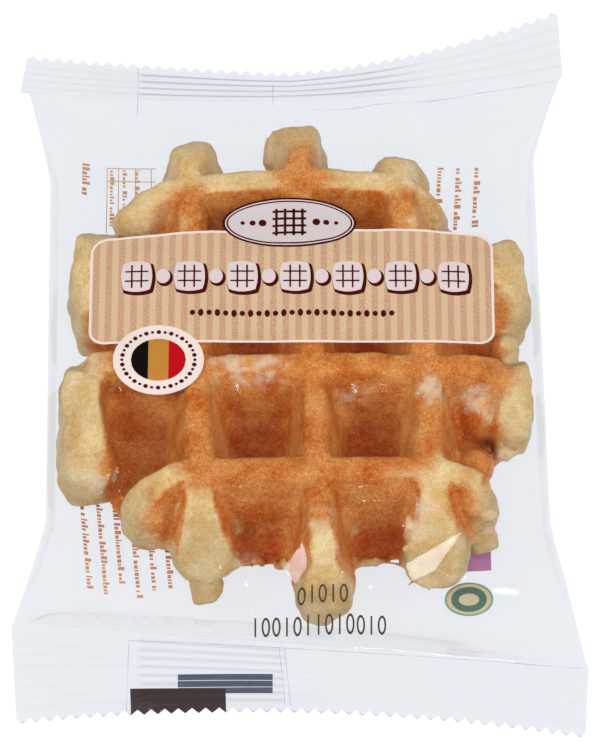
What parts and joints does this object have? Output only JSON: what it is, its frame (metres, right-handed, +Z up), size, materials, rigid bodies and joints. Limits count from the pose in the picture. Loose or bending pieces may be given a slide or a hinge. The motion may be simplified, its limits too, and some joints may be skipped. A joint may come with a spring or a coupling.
{
  "type": "belgian waffle in a clear flow pack",
  "caption": "Pearl sugar waffle sealed in a clear flow pack with zigzag end seals, lying on its folded back seam.",
  "frame": {"origin": "centre of the pack's footprint box, on the table it lies on", "axes": "+X across the pack to the right, +Y along the pack towards the far seal, +Z up through the shown side"},
  "size_m": [0.1304, 0.1796, 0.0286],
  "materials": {
    "clear_film": "clear glossy wrapping film"
  },
  "bodies": {
    "root": {"waffle_pack": "clear_film"}
  },
  "joints": []
}
